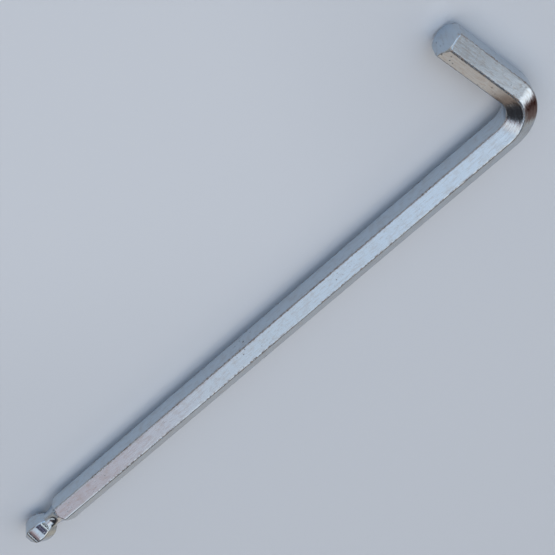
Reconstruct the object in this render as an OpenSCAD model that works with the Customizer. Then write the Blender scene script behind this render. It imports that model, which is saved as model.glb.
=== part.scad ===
// Hex key with a ball end, lying flat as it comes to rest.
// One bar of hexagonal steel, bent once through a right angle. The flats face into and out of
// the bend, so the key rests on the lowest corner of each arm.
// Origin: under the middle of the key's outline, on the surface that it lies on.
// +X runs along the long arm to the ball end, the short arm points along -Y and +Z is up.

/* [Bar] */
// Size of the hexagon across its flats
across_flats = 8; // [7:0.1:9]
// Depth that each corner of the hexagon is rounded down by
corner_break = 0.1; // [0.05:0.01:0.25]
// Overall length of the long arm, from the outside of the short arm to the tip
long_length = 208; // [120:1:240]
// Overall length of the short arm, from the outside of the long arm to its end
short_length = 38; // [32:0.5:60]
// Radius of the bend on its inner face
bend_inner_radius = 6; // [4:0.5:16]

/* [Ball end] */
// Diameter of the turned neck behind the ball
neck_diameter = 5.2; // [4.4:0.1:5.8]
// Length of the neck between the hollow of its shoulder and the ball
neck_length = 0.3; // [0.1:0.1:3]
// Radius of the turned hollow between the bar and the neck
shoulder_radius = 11; // [7:0.2:14]
// Depth by which this hollow would pass under the neck, which leaves a faint edge between them
shoulder_dip = 0.05; // [0.02:0.01:0.1]
// Length from the widest part of the ball to the tip
ball_front = 5; // [4.4:0.1:5.8]
// Radius of each facet of the ball, seen from the side
facet_radius = 8; // [6.5:0.1:10]
// Diameter over the corners of the ball at its widest part
ball_diameter = 9; // [8.6:0.05:9.1]
// Size across the flats of the small hexagon at the tip
tip_flats = 3.8; // [3:0.1:4.6]
// Angle of the six flat faces that lead in to the tip, measured from the axis
tip_angle = 36; // [30:1:45]

/* [Short end] */
// Diameter of the flat face at the end of the short arm
end_diameter = 7.7; // [6.8:0.1:8]
// Angle of the chamfer round that face, measured from the face
end_angle = 30; // [20:1:45]

/* [Hidden] */
$fn = 96;

// The hexagon's size across its corners, sharp and as rounded
sharp_corners = across_flats / cos(30);
across_corners = sharp_corners - 2 * corner_break;

// The bend, measured to the middle of the bar, and the place of its centre
bend_radius = bend_inner_radius + across_flats / 2;
bend_x = (across_flats - long_length) / 2 + bend_radius;
bend_y = (short_length - across_flats) / 2 - bend_radius;
rest_z = across_corners / 2;

// Straight lengths beyond the bend
long_run = long_length - across_flats / 2 - bend_radius;
short_run = short_length - across_flats / 2 - bend_radius;

// Middle of the arc that each facet of the ball follows: out from the axis, and along it
facet_out = across_flats / 2 - facet_radius;
widest_x = long_run - ball_front;

// Length from the ball's widest part back to where its corners come out of the neck
ball_back = sqrt(pow(facet_radius, 2) - pow(neck_diameter / 2 * cos(30) - facet_out, 2));

// Where the hollow of the shoulder ends
neck_x = widest_x - ball_back - neck_length;

// Point where the lead-in faces would meet on the axis, and the half width of that wedge at its foot
apex_x = long_run + tip_flats / 2 / tan(tip_angle);
wedge_x = widest_x - facet_radius;
wedge_out = (apex_x - wedge_x) * tan(tip_angle);

// A size larger than any section of the bar
wide = 2 * across_flats;

// Height of the chamfer at the end of the short arm
end_chamfer = (sharp_corners - end_diameter) / 2 * tan(end_angle);

// Section of the bar, with a corner at the top and a flat on the left and the right
module bar_section() {
    rotate(90)
        intersection() {
            circle(d = sharp_corners, $fn = 6);
            circle(d = across_corners);
        }
}

// The same section at its distance from the bend's centre, on one side of it or the other
module placed_section(side = 1) {
    translate([side * bend_radius, 0])
        bar_section();
}

// Turns +Z to the long arm's direction, with the bend's centre at the origin
module along_long_arm() {
    rotate([90, 0, 90])
        children();
}

// Turns +Z to the short arm's direction
module along_short_arm() {
    rotate([90, 0, 0])
        children();
}

// Moves turned forms from the origin to the middle of the bar
module on_bar_axis(side = 1) {
    translate([side * bend_radius, 0, 0])
        children();
}

// Body of revolution that leaves the bar whole and hollows it down to the neck
module shoulder_envelope() {
    rotate_extrude()
        difference() {
            translate([0, -wide])
                square([wide, neck_x + wide]);
            translate([neck_diameter / 2 - shoulder_dip + shoulder_radius, neck_x])
                circle(r = shoulder_radius);
        }
}

// Long arm up to the end of its shoulder, where its six flats run out into the turned hollow
module shouldered_bar() {
    intersection() {
        linear_extrude(neck_x + neck_length)
            placed_section();
        on_bar_axis()
            shoulder_envelope();
    }
}

// Neck, which starts inside the bar and ends inside the ball
module neck() {
    translate([0, 0, neck_x - shoulder_radius / 2])
        cylinder(d = neck_diameter, h = widest_x - neck_x + shoulder_radius / 2);
}

// Slab that bulges along the axis and tapers to the tip: one opposite pair of the ball's facets
module facet_pair() {
    rotate([90, 0, 0])
        translate([0, 0, -wide])
            linear_extrude(2 * wide)
                intersection() {
                    intersection_for (side = [-1, 1])
                        translate([side * facet_out, widest_x])
                            circle(r = facet_radius);
                    polygon([[-wedge_out, wedge_x], [wedge_out, wedge_x], [0, apex_x]]);
                }
}

// Turned form that breaks the ball's corners at its widest part and cuts the flat of the tip
module ball_envelope() {
    translate([0, 0, neck_x])
        cylinder(d = ball_diameter, h = long_run - neck_x);
}

// Ball with six bulging facets that taper to a flat tip
module ball() {
    intersection() {
        ball_envelope();
        facet_pair();
        rotate(60)
            facet_pair();
        rotate(120)
            facet_pair();
    }
}

// Straight part of the long arm, its shoulder, its neck and the ball
module long_arm() {
    along_long_arm() {
        shouldered_bar();
        on_bar_axis() {
            neck();
            ball();
        }
    }
}

// Quarter turn of the bar between the arms
module bend() {
    rotate_extrude(angle = 90, start = 90)
        placed_section();
}

// Straight part of the short arm, with the chamfer round its end
module short_arm() {
    along_short_arm()
        intersection() {
            linear_extrude(short_run + end_chamfer)
                placed_section(-1);
            on_bar_axis(-1)
                translate([0, 0, -end_chamfer])
                    cylinder(
                        d1 = end_diameter + 2 * (short_run + end_chamfer) / tan(end_angle),
                        d2 = end_diameter,
                        h = short_run + end_chamfer
                    );
        }
}

// The whole key, one piece
module hex_key() {
    color([0.72, 0.76, 0.82])
        translate([bend_x, bend_y, rest_z]) {
            long_arm();
            bend();
            short_arm();
        }
}

hex_key();
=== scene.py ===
"""Looks of the hex key: its plated steel, the bench that it lies on, the light and the camera."""
import math
import bpy
import numpy as np
from mathutils import Matrix, Vector


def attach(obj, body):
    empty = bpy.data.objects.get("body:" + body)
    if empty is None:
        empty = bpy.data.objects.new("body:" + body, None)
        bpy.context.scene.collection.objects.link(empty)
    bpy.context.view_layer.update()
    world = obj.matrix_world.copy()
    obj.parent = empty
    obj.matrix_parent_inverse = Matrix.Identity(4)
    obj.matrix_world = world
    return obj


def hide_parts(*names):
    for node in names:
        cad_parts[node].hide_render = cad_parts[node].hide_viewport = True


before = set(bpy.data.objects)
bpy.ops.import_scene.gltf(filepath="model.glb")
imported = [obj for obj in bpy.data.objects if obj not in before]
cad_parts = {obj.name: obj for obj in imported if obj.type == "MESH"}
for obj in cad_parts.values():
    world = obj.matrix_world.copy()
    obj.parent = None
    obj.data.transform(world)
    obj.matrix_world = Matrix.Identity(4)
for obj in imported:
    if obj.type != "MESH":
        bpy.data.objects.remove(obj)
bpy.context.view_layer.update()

# Sizes of the key, in millimetres, as in the part's source
MM = 0.001
ACROSS_FLATS = 8.0
CORNER_BREAK = 0.1
LONG_LENGTH = 208.0
SHORT_LENGTH = 38.0
BEND_INNER_RADIUS = 6.0
NECK_DIAMETER = 5.2
NECK_LENGTH = 0.3
BALL_FRONT = 5.0
FACET_RADIUS = 8.0
BALL_DIAMETER = 9.0
SHOULDER_RADIUS = 11.0
SHOULDER_DIP = 0.05
TIP_FLATS = 3.8
TIP_ANGLE = math.radians(36.0)
END_DIAMETER = 7.7
END_ANGLE = math.radians(30.0)

# Places worked out from them, counted from the corner where the middles of the two arms would meet
FLAT_OUT = ACROSS_FLATS / 2
SHARP_OUT = FLAT_OUT / math.cos(math.radians(30))
CORNER_OUT = SHARP_OUT - CORNER_BREAK
BEND_RADIUS = BEND_INNER_RADIUS + FLAT_OUT
LONG_REACH = LONG_LENGTH - FLAT_OUT
SHORT_REACH = SHORT_LENGTH - FLAT_OUT
CORNER = Vector((FLAT_OUT - LONG_LENGTH / 2, SHORT_LENGTH / 2 - FLAT_OUT, CORNER_OUT))
WIDEST_X = LONG_REACH - BALL_FRONT
FACET_OUT = FLAT_OUT - FACET_RADIUS
NECK_FLAT = NECK_DIAMETER / 2 * math.cos(math.radians(30))
NECK_X = WIDEST_X - math.sqrt(FACET_RADIUS ** 2 - (NECK_FLAT - FACET_OUT) ** 2) - NECK_LENGTH

# Place inside the ball where the neck is left out, past the last spot where it shows
NECK_END_X = WIDEST_X - 2.0

# Fillet that rounds each corner of the hexagon down to the same size as the solid's
EDGE_FILLET = CORNER_BREAK / (1 / math.cos(math.radians(30)) - 1)

# Distance round the bar from one edge of the hexagon to the next, and from the map's start to the
# middle of the first
EDGE_PITCH = 2 * (FLAT_OUT - EDGE_FILLET) * math.tan(math.radians(30)) + EDGE_FILLET * math.radians(60)
FIRST_EDGE = EDGE_FILLET * math.radians(30)

# Scale of the map on the two flat ends, which keeps them within one flat's width of it
END_MAP_SCALE = 0.45

# Width over which two surfaces of the ball end run into each other
BLEND = 0.05

# Steps of the mesh along the bar, and the length of the short arm's end that has the finest ones
END_STEP = 0.09
BEND_STEP = 0.35
ARM_STEP = 2.0
CHAMFER_STEP = 0.03
CHAMFER_ZONE = 0.9

# Points on each rounded corner of the section and on each flat between two of them
CORNER_POINTS = 9
FLAT_POINTS = 11

# Sizes of the rings that fill the two flat ends, as shares of the rim's
INNER_RINGS = (0.93, 0.6, 0.25)


def section():
    """Points of the rounded hexagon as angles and distances from its middle, all the way round."""
    angles, reaches = [], []
    centre_out = (FLAT_OUT - EDGE_FILLET) / math.cos(math.radians(30))
    for k in range(6):
        middle = math.radians(30 + 60 * k)
        side = []
        for turn in np.linspace(-30, 30, CORNER_POINTS):
            way = middle + math.radians(turn)
            side.append((
                centre_out * math.cos(middle) + EDGE_FILLET * math.cos(way),
                centre_out * math.sin(middle) + EDGE_FILLET * math.sin(way),
            ))
        flat_way = middle + math.radians(30)
        half = (FLAT_OUT - EDGE_FILLET) * math.tan(math.radians(30))
        for along in np.linspace(-half, half, FLAT_POINTS + 2)[1:-1]:
            side.append((
                FLAT_OUT * math.cos(flat_way) - along * math.sin(flat_way),
                FLAT_OUT * math.sin(flat_way) + along * math.cos(flat_way),
            ))
        angles += [math.atan2(w, u) for u, w in side]
        reaches += [math.hypot(u, w) for u, w in side]
    return np.array(angles), np.array(reaches)


def lower_of(*sizes):
    """The smallest of several sizes, with a small round blend where two are alike."""
    stack = np.stack(np.broadcast_arrays(*sizes))
    least = stack.min(axis=0)
    return least - BLEND * np.log(np.exp((least - stack) / BLEND).sum(axis=0))


def higher_of(*sizes):
    """The largest of several sizes, with a small round blend where two are alike."""
    return -lower_of(*[-np.asarray(s) for s in sizes])


def long_arm_reach(x, bar):
    """Distance from the long arm's middle line to its surface, at x, for each point of the section."""
    neck = NECK_DIAMETER / 2
    if x < NECK_X - SHOULDER_RADIUS:
        return bar
    if x < NECK_X:
        rise = SHOULDER_RADIUS - math.sqrt(max(0.0, SHOULDER_RADIUS ** 2 - (NECK_X - x) ** 2))
        return lower_of(bar, max(neck, neck - SHOULDER_DIP + rise))
    bulge = FACET_OUT + math.sqrt(FACET_RADIUS ** 2 - (x - WIDEST_X) ** 2)
    lead_in = TIP_FLATS / 2 + (LONG_REACH - x) * math.tan(TIP_ANGLE)
    ball = lower_of(bar * lower_of(bulge, lead_in) / FLAT_OUT, BALL_DIAMETER / 2)
    if x < NECK_END_X:
        return higher_of(ball, neck)
    return ball


def short_arm_reach(s, bar):
    """The same on the short arm, at s along it, with the chamfer at its end."""
    chamfer = END_DIAMETER / 2 + (SHORT_REACH - s) / math.tan(END_ANGLE)
    return lower_of(bar, chamfer)


def spaced(start, end, step):
    """Values from start up to end, not including end."""
    count = max(1, round(abs(end - start) / step))
    return np.linspace(start, end, count, endpoint=False)


def rings():
    """Rows of the mesh from the ball's tip to the short arm's end: place, outward way, run, reach."""
    angles, bar = section()
    rows = []
    end_start = NECK_X - SHOULDER_RADIUS
    long_xs = list(spaced(LONG_REACH, end_start, END_STEP)) + list(spaced(end_start, BEND_RADIUS, ARM_STEP))
    for x in long_xs:
        rows.append((x, 0.0, 0.0, 1.0, LONG_REACH - x, long_arm_reach(x, bar)))
    run = LONG_REACH - BEND_RADIUS
    arc_length = BEND_RADIUS * math.pi / 2
    for s in spaced(0.0, arc_length, BEND_STEP):
        way = math.pi / 2 + s / BEND_RADIUS
        out = (math.cos(way), math.sin(way))
        place = (BEND_RADIUS + BEND_RADIUS * out[0], BEND_RADIUS * out[1] - BEND_RADIUS)
        rows.append((*place, *out, run + s, bar))
    run += arc_length
    chamfer_start = SHORT_REACH - CHAMFER_ZONE
    short_ss = list(spaced(BEND_RADIUS, chamfer_start, ARM_STEP))
    short_ss += list(spaced(chamfer_start, SHORT_REACH, CHAMFER_STEP)) + [SHORT_REACH]
    for s in short_ss:
        rows.append((0.0, -s, -1.0, 0.0, run + s - BEND_RADIUS, short_arm_reach(s, bar)))
    return angles, bar, rows


def key_mesh():
    """Builds the key as one closed mesh, with a map of the distance along and round the bar."""
    angles, bar, rows = rings()
    n = len(angles)
    across, up = np.cos(angles), np.sin(angles)
    verts = []
    for px, py, ox, oy, run, reach in rows:
        verts.append(np.column_stack([
            px + ox * reach * across,
            py + oy * reach * across,
            reach * up,
        ]))
    tip_x, end_y = LONG_REACH, -SHORT_REACH
    tip_reach, end_reach = rows[0][5], rows[-1][5]
    for share in INNER_RINGS:
        verts.insert(0, np.column_stack([
            np.full(n, tip_x), tip_reach * share * across, tip_reach * share * up,
        ]))
    for share in INNER_RINGS:
        verts.append(np.column_stack([
            -end_reach * share * across, np.full(n, end_y), end_reach * share * up,
        ]))
    total = len(verts)
    points = np.vstack(verts + [[[tip_x, 0, 0]], [[0, end_y, 0]]])
    points = (points * MM) + np.array(CORNER) * MM
    faces = []
    for r in range(total - 1):
        for c in range(n):
            d = (c + 1) % n
            faces.append((r * n + c, r * n + d, (r + 1) * n + d, (r + 1) * n + c))
    tip, end = total * n, total * n + 1
    last = (total - 1) * n
    for c in range(n):
        d = (c + 1) % n
        faces.append((d, c, tip))
        faces.append((last + c, last + d, end))
    mesh = bpy.data.meshes.new("hex_key_fine")
    mesh.from_pydata(points.tolist(), [], faces)
    mesh.update()

    # The map: u is the distance along the bar and v the distance round it, both in decimetres
    girth = np.concatenate([[0], np.cumsum(np.hypot(
        np.diff(bar * across), np.diff(bar * up)))])
    closing = math.hypot(bar[0] * across[0] - bar[-1] * across[-1], bar[0] * up[0] - bar[-1] * up[-1])
    v_col = np.append(girth, girth[-1] + closing)
    layer = mesh.uv_layers.new(name="along_and_round")
    tip_rim, end_rim = len(INNER_RINGS) * n, (total - 1 - len(INNER_RINGS)) * n
    flat_middle = FIRST_EDGE + EDGE_PITCH / 2
    for poly in mesh.polygons:
        low, high = min(poly.vertices), max(poly.vertices)
        flat_end = low >= end_rim or high == tip or high < tip_rim + n
        if flat_end:
            # The tip is far out along x and the short arm's end along y, so the other one lies across
            for k in poly.loop_indices:
                spot = mesh.vertices[mesh.loops[k].vertex_index].co / MM - CORNER
                aside = spot.y if abs(spot.x) > abs(spot.y) else spot.x
                v = flat_middle + END_MAP_SCALE * aside
                layer.data[k].uv = (END_MAP_SCALE * spot.z / 100, v / 100)
            continue
        cols = [mesh.loops[k].vertex_index % n for k in poly.loop_indices]
        wraps = 0 in cols and n - 1 in cols
        for k in poly.loop_indices:
            index = mesh.loops[k].vertex_index
            col = index % n
            u = rows[index // n - len(INNER_RINGS)][4]
            v = v_col[n] if wraps and col == 0 else v_col[col]
            layer.data[k].uv = (u / 100, v / 100)
    for poly in mesh.polygons:
        poly.use_smooth = True
    piece = bpy.data.objects.new("hex_key_fine", mesh)
    bpy.context.scene.collection.objects.link(piece)
    return piece, total, n


def harden_ends(mesh, total, n):
    """Keeps the edges of the tip's flat and of the short arm's end face crisp."""
    sharp = set()
    for r in (len(INNER_RINGS), total - 1 - len(INNER_RINGS)):
        for c in range(n):
            sharp.add(frozenset((r * n + c, r * n + (c + 1) % n)))
    for edge in mesh.edges:
        if frozenset(edge.vertices) in sharp:
            edge.use_edge_sharp = True


key, ring_count, ring_size = key_mesh()
harden_ends(key.data, ring_count, ring_size)


# Colours of the chrome, of the nickel that shows where it is thin, of the dirt in its pits, of the
# rust at its edges, and of the painted dark red-brown reflection and the painted dark brown reflection
# on the two sides of the bend
CHROME = (0.46, 0.54, 0.62)
WORN = (0.40, 0.42, 0.44)
GRIME = (0.05, 0.045, 0.04)
RUST = (0.17, 0.12, 0.09)
PAINTED_RED_REFLECTION = (0.12, 0.06, 0.055)
PAINTED_DARK_REFLECTION = (0.13, 0.105, 0.095)

# Repeats per decimetre of the marks that follow the bar: along it, round it and in depth
LINE_REPEATS = (6.0, 420.0, 1.0)
STREAK_REPEATS = (36.0, 160.0, 1.0)
WAVE_REPEATS = (18.0, 60.0, 1.0)
SPECK_REPEATS = (110.0, 260.0, 1.0)

# Repeats per metre of the marks that don't
STAIN_REPEATS = 420.0
GRAIN_REPEATS = 2600.0
PATCH_REPEATS = 90.0
SPECK_PATCH_REPEATS = 55.0
FINE_PIT_REPEATS = 800.0
LARGE_PIT_REPEATS = 330.0

# Heights of the marks, in metres
LINE_HEIGHT = 0.000004
STREAK_HEIGHT = 0.000012
BENT_STREAK_HEIGHT = 0.000030
WAVE_HEIGHT = 0.000012
GRAIN_HEIGHT = 0.0000015
DIRT_HEIGHT = -0.00002

# Distances from an edge, in millimetres, at which its dirt begins and is full
EDGE_DIRT = (0.45, 0.15)

# Places on the map, in decimetres, where each effect of the bend begins and is full: first along the
# bar, from the ball's side and from the other, and then round it
BENT_FROM, BENT_TO = (1.90, 1.95), (2.14, 2.09)
# Where the painted dark red-brown reflection lies on the bend's outer upper flat
RED_REFLECTION_FROM, RED_REFLECTION_TO = (2.022, 2.042), (2.096, 2.074)
RED_REFLECTION_ROUND = (0.052, 0.034)
# Where the painted dark brown reflection lies on the bend's inner upper flat
DARK_REFLECTION_FROM, DARK_REFLECTION_TO = (2.092, 2.108), (2.190, 2.130)
DARK_REFLECTION_ROUND_FROM, DARK_REFLECTION_ROUND_TO = (0.050, 0.055), (0.094, 0.089)

# Length by which the streaks tear the borders of the two painted reflections on the bend, in decimetres
TEAR = 0.05


class Graph:
    """Short ways to add nodes to one node tree."""

    def __init__(self, tree):
        self.nodes = tree.nodes
        self.links = tree.links

    def feed(self, socket, value):
        """Links a socket to another node's output, or sets it to a plain value."""
        if isinstance(value, bpy.types.NodeSocket):
            self.links.new(value, socket)
        elif isinstance(value, tuple) and len(value) == 3 and socket.type == "RGBA":
            socket.default_value = (*value, 1.0)
        else:
            socket.default_value = value

    def math(self, operation, first, second=0.0, third=0.0):
        node = self.nodes.new("ShaderNodeMath")
        node.operation = operation
        self.feed(node.inputs[0], first)
        self.feed(node.inputs[1], second)
        self.feed(node.inputs[2], third)
        return node.outputs[0]

    def ramp(self, value, low, high, to_low=0.0, to_high=1.0):
        """Smooth step of a value from low to high."""
        node = self.nodes.new("ShaderNodeMapRange")
        node.interpolation_type = "SMOOTHSTEP"
        self.feed(node.inputs["Value"], value)
        self.feed(node.inputs["From Min"], low)
        self.feed(node.inputs["From Max"], high)
        self.feed(node.inputs["To Min"], to_low)
        self.feed(node.inputs["To Max"], to_high)
        return node.outputs["Result"]

    def mix(self, share, first, second):
        """Colour between two colours, by the node's colour sockets, which come after its others."""
        node = self.nodes.new("ShaderNodeMix")
        node.data_type = "RGBA"
        self.feed(node.inputs["Factor"], share)
        self.feed(node.inputs[6], first)
        self.feed(node.inputs[7], second)
        return node.outputs[2]

    def vector(self, operation, first, second=(0.0, 0.0, 0.0)):
        node = self.nodes.new("ShaderNodeVectorMath")
        node.operation = operation
        self.feed(node.inputs[0], first)
        self.feed(node.inputs[1], second)
        return node.outputs[0]

    def noise(self, vector, scale, detail=2.0, roughness=0.5):
        node = self.nodes.new("ShaderNodeTexNoise")
        self.feed(node.inputs["Vector"], vector)
        node.inputs["Scale"].default_value = scale
        node.inputs["Detail"].default_value = detail
        node.inputs["Roughness"].default_value = roughness
        return node.outputs["Fac"]

    def spots(self, vector, scale, rim, core):
        """Round spots spread at random: one within core of their middles and zero beyond rim."""
        node = self.nodes.new("ShaderNodeTexVoronoi")
        self.feed(node.inputs["Vector"], vector)
        node.inputs["Scale"].default_value = scale
        return self.ramp(node.outputs["Distance"], rim, core)


def plated_steel():
    """Bright plating over drawn steel: lengthwise lines, stains, small pits and painted dark reflections on
    the bend.
    """
    mat = bpy.data.materials.new("plated_steel")
    mat.use_nodes = True
    shader = mat.node_tree.nodes["Principled BSDF"]
    graph = Graph(mat.node_tree)
    place = graph.nodes.new("ShaderNodeTexCoord").outputs["Object"]
    along = graph.nodes.new("ShaderNodeUVMap")
    along.uv_map = "along_and_round"
    lengthwise = along.outputs["UV"]

    lines = graph.noise(graph.vector("MULTIPLY", lengthwise, LINE_REPEATS), 1.0, 3.0, 0.6)
    streaks = graph.noise(graph.vector("MULTIPLY", lengthwise, STREAK_REPEATS), 1.0, 3.0, 0.65)
    waves = graph.noise(graph.vector("MULTIPLY", lengthwise, WAVE_REPEATS), 1.0, 1.0)
    stains = graph.noise(place, STAIN_REPEATS, 3.0, 0.6)
    grain = graph.noise(place, GRAIN_REPEATS, 2.0, 0.6)
    patches = graph.noise(place, PATCH_REPEATS, 2.0)

    # Pits: many fine ones in patches, and a few larger ones
    fine_pits = graph.spots(place, FINE_PIT_REPEATS, 0.19, 0.10)
    fine_pits = graph.math("MULTIPLY", fine_pits, graph.ramp(patches, 0.54, 0.64))
    large_pits = graph.spots(place, LARGE_PIT_REPEATS, 0.13, 0.07)
    large_pits = graph.math("MULTIPLY", large_pits, graph.ramp(patches, 0.60, 0.66))
    pits = graph.math("MAXIMUM", fine_pits, large_pits)

    # Specks along the hexagon's edges, where the plating is thin and dirt keeps
    split = graph.nodes.new("ShaderNodeSeparateXYZ")
    graph.feed(split.inputs[0], lengthwise)
    run, girth = split.outputs[0], split.outputs[1]
    turns = graph.math("MULTIPLY_ADD", girth, 100 / EDGE_PITCH, 0.5 - FIRST_EDGE / EDGE_PITCH)
    off_edge = graph.math("ABSOLUTE", graph.math("SUBTRACT", graph.math("FRACT", turns), 0.5))
    edge = graph.ramp(off_edge, *[reach / EDGE_PITCH for reach in EDGE_DIRT])
    specks = graph.noise(graph.vector("MULTIPLY", lengthwise, SPECK_REPEATS), 1.0, 2.0)
    specks = graph.math("MULTIPLY", graph.ramp(specks, 0.48, 0.56), edge)
    speck_patches = graph.ramp(graph.noise(place, SPECK_PATCH_REPEATS, 1.0), 0.36, 0.52)
    specks = graph.math("MULTIPLY", specks, speck_patches)
    dirt = graph.math("MAXIMUM", pits, specks)

    # Painted dark red-brown reflection on the outer upper flat of the bend, torn along the drawing lines
    bent = graph.math("MULTIPLY", graph.ramp(run, *BENT_FROM), graph.ramp(run, *BENT_TO))
    torn = graph.math("MULTIPLY_ADD", streaks, TEAR, run)
    red_reflection = graph.math("MULTIPLY", graph.ramp(torn, *RED_REFLECTION_FROM), graph.ramp(torn, *RED_REFLECTION_TO))
    red_reflection = graph.math("MULTIPLY", red_reflection, graph.ramp(girth, *RED_REFLECTION_ROUND))

    # Painted dark brown reflection on its inner upper flat, where the bend runs out into the short arm
    dark_reflection = graph.math("MULTIPLY", graph.ramp(torn, *DARK_REFLECTION_FROM), graph.ramp(torn, *DARK_REFLECTION_TO))
    dark_reflection = graph.math("MULTIPLY", dark_reflection, graph.ramp(girth, *DARK_REFLECTION_ROUND_FROM))
    dark_reflection = graph.math("MULTIPLY", dark_reflection, graph.ramp(girth, *DARK_REFLECTION_ROUND_TO))

    colour = graph.mix(graph.ramp(stains, 0.45, 0.75, 0.0, 0.5), CHROME, WORN)
    colour = graph.mix(graph.ramp(streaks, 0.48, 0.68, 0.0, 0.6), colour, WORN)
    colour = graph.mix(graph.math("MULTIPLY", specks, 0.8), colour, RUST)
    # Painted dark red-brown reflection, mixed into the base colour
    colour = graph.mix(graph.math("MULTIPLY", red_reflection, 0.85), colour, PAINTED_RED_REFLECTION)
    # Painted dark brown reflection, mixed into the base colour
    colour = graph.mix(graph.math("MULTIPLY", dark_reflection, 0.75), colour, PAINTED_DARK_REFLECTION)
    colour = graph.mix(graph.math("MULTIPLY", pits, 0.55), colour, GRIME)
    graph.feed(shader.inputs["Base Color"], colour)
    shader.inputs["Metallic"].default_value = 1.0
    rough = graph.ramp(lines, 0.3, 0.7, 0.08, 0.18)
    rough = graph.math("ADD", rough, graph.math("MULTIPLY", dirt, 0.3))
    graph.feed(shader.inputs["Roughness"], rough)

    # Relief, deepest in the streaks of the bend
    streak_height = graph.ramp(bent, 0.0, 1.0, STREAK_HEIGHT, BENT_STREAK_HEIGHT)
    height = graph.math("MULTIPLY", lines, LINE_HEIGHT)
    height = graph.math("MULTIPLY_ADD", streaks, streak_height, height)
    height = graph.math("MULTIPLY_ADD", waves, WAVE_HEIGHT, height)
    height = graph.math("MULTIPLY_ADD", grain, GRAIN_HEIGHT, height)
    height = graph.math("MULTIPLY_ADD", dirt, DIRT_HEIGHT, height)
    bump = graph.nodes.new("ShaderNodeBump")
    bump.inputs["Strength"].default_value = 1.0
    bump.inputs["Distance"].default_value = 1.0
    graph.feed(bump.inputs["Height"], height)
    graph.feed(shader.inputs["Normal"], bump.outputs["Normal"])
    return mat


key.data.materials.append(plated_steel())
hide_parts("hex_key")
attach(key, "root")


# Camera, from a fit of the two arms' edges in the photograph, with the image 555 pixels wide
IMAGE_WIDTH = 555
FOCAL_PIXELS = 1466.3
CAMERA_PLACE = Vector((-188.82, -221.56, 269.36)) * MM
RIGHT = Vector((-0.67755, 0.71475, 0.17339))
DOWN = Vector((0.59195, 0.39004, 0.70531))
AHEAD = Vector((0.43649, 0.58052, -0.68737))


def add_camera():
    """Camera that looks from where the photograph was taken."""
    data = bpy.data.cameras.new("camera")
    data.sensor_width = 36.0
    data.lens = FOCAL_PIXELS * data.sensor_width / IMAGE_WIDTH
    data.clip_start = 0.01
    data.clip_end = 20.0
    camera = bpy.data.objects.new("camera", data)
    turn = Matrix((RIGHT, -DOWN, -AHEAD)).transposed().to_4x4()
    camera.matrix_world = Matrix.Translation(CAMERA_PLACE) @ turn
    bpy.context.scene.collection.objects.link(camera)
    bpy.context.scene.camera = camera


add_camera()


# Pale blue-grey of the bench, its satin finish and half of its width
BENCH = (0.62, 0.65, 0.69)
BENCH_ROUGHNESS = 0.15
BENCH_HALF = 3.0


def add_floor():
    """Plain pale bench that the key lies on."""
    mesh = bpy.data.meshes.new("bench")
    corners = [(x * BENCH_HALF, y * BENCH_HALF, 0) for x, y in [(-1, -1), (1, -1), (1, 1), (-1, 1)]]
    mesh.from_pydata(corners, [], [(0, 1, 2, 3)])
    floor = bpy.data.objects.new("bench", mesh)
    bpy.context.scene.collection.objects.link(floor)
    mat = bpy.data.materials.new("bench")
    mat.use_nodes = True
    satin = mat.node_tree.nodes["Principled BSDF"]
    satin.inputs["Base Color"].default_value = (*BENCH, 1.0)
    satin.inputs["Roughness"].default_value = BENCH_ROUGHNESS
    mesh.materials.append(mat)


add_floor()

# The room, from the horizon up: its tint low down, half way and overhead, and the elevations between
# which each changes to the next
ROOM_LOW = (0.50, 0.46, 0.42)
ROOM_MIDDLE = (0.97, 1.04, 1.15)
ROOM_TOP = (1.35, 1.35, 1.35)
LOW_TO_MIDDLE = (12.0, 50.0)
MIDDLE_TO_TOP = (62.0, 80.0)

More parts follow.
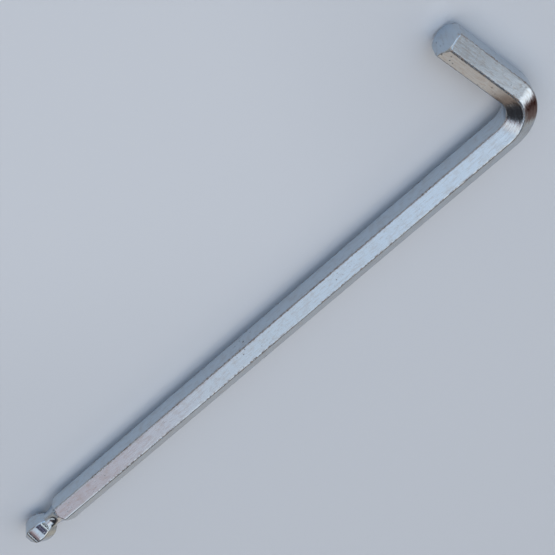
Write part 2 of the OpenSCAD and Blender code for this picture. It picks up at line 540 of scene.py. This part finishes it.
# What hangs in it: name, azimuth from and to, elevation from and to, softness, all in degrees, and
# colour. Where two overlap, the later one is in front.
PANELS = [
    ("warm_far", 30, 150, 62, 80, 5, (1.95, 1.60, 1.15)),
    ("haze", -42, -22, 50, 61, 4, (0.91, 0.95, 1.015)),
    ("sky_ahead", 8, 58, 44, 64, 4, (0.91, 0.95, 1.025)),
    ("bright_window", -22, 14, 46, 61, 3, (1.36, 1.31, 1.27)),
    ("dark_beam", -6, 58, 15, 43, 3, (0.04, 0.037, 0.04)),
    ("brown_beam", 14, 58, 12, 18, 2, (0.14, 0.11, 0.095)),
    ("beige_wall", 10, 46, -4, 12, 2, (0.80, 0.67, 0.57)),
    ("warm_wall", 44, 80, 2, 14, 4, (0.66, 0.56, 0.45)),
    ("dark_corner", 46, 84, 15, 42, 4, (0.14, 0.14, 0.14)),
    ("lavender_curtain", -38, -16, 44, 53, 3, (0.79, 0.66, 0.67)),
    ("pink_wall", -30, -2, 35, 45, 1.5, (0.42, 0.27, 0.26)),
    ("dark_lintel", -30, 2, 28, 35, 1, (0.03, 0.025, 0.035)),
    ("bright_sill", -30, 5, 23, 26, 0.8, (1.7, 1.7, 1.7)),
    ("dark_sill", -30, 12, 12, 20, 1.5, (0.03, 0.025, 0.035)),
    ("dark_ceiling", 58, 116, 40, 58, 4, (0.12, 0.12, 0.13)),
    ("grey_wall", 120, 146, 22, 46, 3, (1.04, 1.02, 1.02)),
    ("grey_shelf", 123, 126, 22, 46, 1, (0.42, 0.41, 0.41)),
    ("grey_door", 130, 134, 22, 46, 1, (0.42, 0.41, 0.41)),
    ("grey_post", 138, 142, 22, 46, 1, (0.42, 0.41, 0.41)),
    ("pale_back", 148, 190, 12, 80, 4, (1.10, 1.20, 1.35)),
    ("blue_corner", 190, 232, 13, 50, 4, (0.54, 0.93, 1.45)),
    ("blue_side", 232, 282, 14, 56, 4, (0.62, 0.80, 1.02)),
    ("purple_band", 238, 302, 59, 74, 1.5, (0.08, 0.065, 0.11)),
    ("purple_gap", 266, 272, 59, 74, 1, (0.36, 0.34, 0.44)),
    ("white_strip", 205, 238, 55, 73, 1, (1.50, 1.50, 1.45)),
    ("black_stroke", 216, 228, 55, 73, 1, (0.03, 0.03, 0.03)),
    ("lamp", 106, 122, 21, 36, 3, (1.7, 1.65, 1.6)),
    ("red_door", 92, 114, 12, 20, 1.5, (0.10, 0.03, 0.02)),
    ("pink_ledge", 282, 311, 20, 46, 4, (0.55, 0.46, 0.44)),
    ("dark_ledge", 280, 308, 12, 20, 2, (0.06, 0.045, 0.04)),
    ("white_ledge", 246, 278, -4, 12, 2, (1.40, 1.38, 1.35)),
]

# Azimuths are counted from here anticlockwise, so that no panel crosses the seam
FIRST_AZIMUTH = -45


def panel_share(graph, angles, across, up, soft):
    """One inside a panel given by its azimuths and elevations, and zero outside, with a soft border."""
    middle = ((across[0] + across[1]) / 2, (up[0] + up[1]) / 2, 0.0)
    half = ((across[1] - across[0]) / 2, (up[1] - up[0]) / 2)
    offset = graph.vector("ABSOLUTE", graph.vector("SUBTRACT", angles, middle))

    # The node's vector sockets come after its float ones: value, from and to, result at each
    fade = graph.nodes.new("ShaderNodeMapRange")
    fade.data_type = "FLOAT_VECTOR"
    fade.interpolation_type = "SMOOTHSTEP"
    graph.feed(fade.inputs[6], offset)
    graph.feed(fade.inputs[7], (half[0] - soft, half[1] - soft, -1.0))
    graph.feed(fade.inputs[8], (half[0] + soft, half[1] + soft, 1.0))
    graph.feed(fade.inputs[9], (1.0, 1.0, 1.0))
    graph.feed(fade.inputs[10], (0.0, 0.0, 0.0))
    parts = graph.nodes.new("ShaderNodeSeparateXYZ")
    graph.feed(parts.inputs[0], fade.outputs[1])
    return graph.math("MULTIPLY", parts.outputs[0], parts.outputs[1])


def add_world():
    """Soft light from a pale room, with the panels that the chrome mirrors."""
    world = bpy.data.worlds.new("studio")
    bpy.context.scene.world = world
    world.use_nodes = True
    graph = Graph(world.node_tree)
    way = graph.nodes.new("ShaderNodeTexCoord").outputs["Generated"]
    split = graph.nodes.new("ShaderNodeSeparateXYZ")
    graph.feed(split.inputs[0], way)
    x, y, z = split.outputs
    degrees = 180 / math.pi
    turn = graph.math("MULTIPLY", graph.math("ARCTAN2", y, x), degrees)
    wrapped = graph.math("FLOORED_MODULO", graph.math("SUBTRACT", turn, FIRST_AZIMUTH), 360.0)
    azimuth = graph.math("ADD", wrapped, FIRST_AZIMUTH)
    elevation = graph.math("MULTIPLY", graph.math("ARCSINE", z), degrees)
    join = graph.nodes.new("ShaderNodeCombineXYZ")
    graph.feed(join.inputs[0], azimuth)
    graph.feed(join.inputs[1], elevation)
    colour = graph.mix(graph.ramp(elevation, *LOW_TO_MIDDLE), ROOM_LOW, ROOM_MIDDLE)
    colour = graph.mix(graph.ramp(elevation, *MIDDLE_TO_TOP), colour, ROOM_TOP)
    for name, west, east, low, high, soft, tint in PANELS:
        share = panel_share(graph, join.outputs[0], (west, east), (low, high), soft)
        colour = graph.mix(share, colour, tint)
        colour.node.label = name
    sky = world.node_tree.nodes["Background"]
    graph.feed(sky.inputs["Color"], colour)
    sky.inputs["Strength"].default_value = 1.0


add_world()
bpy.context.scene.view_settings.view_transform = "Standard"
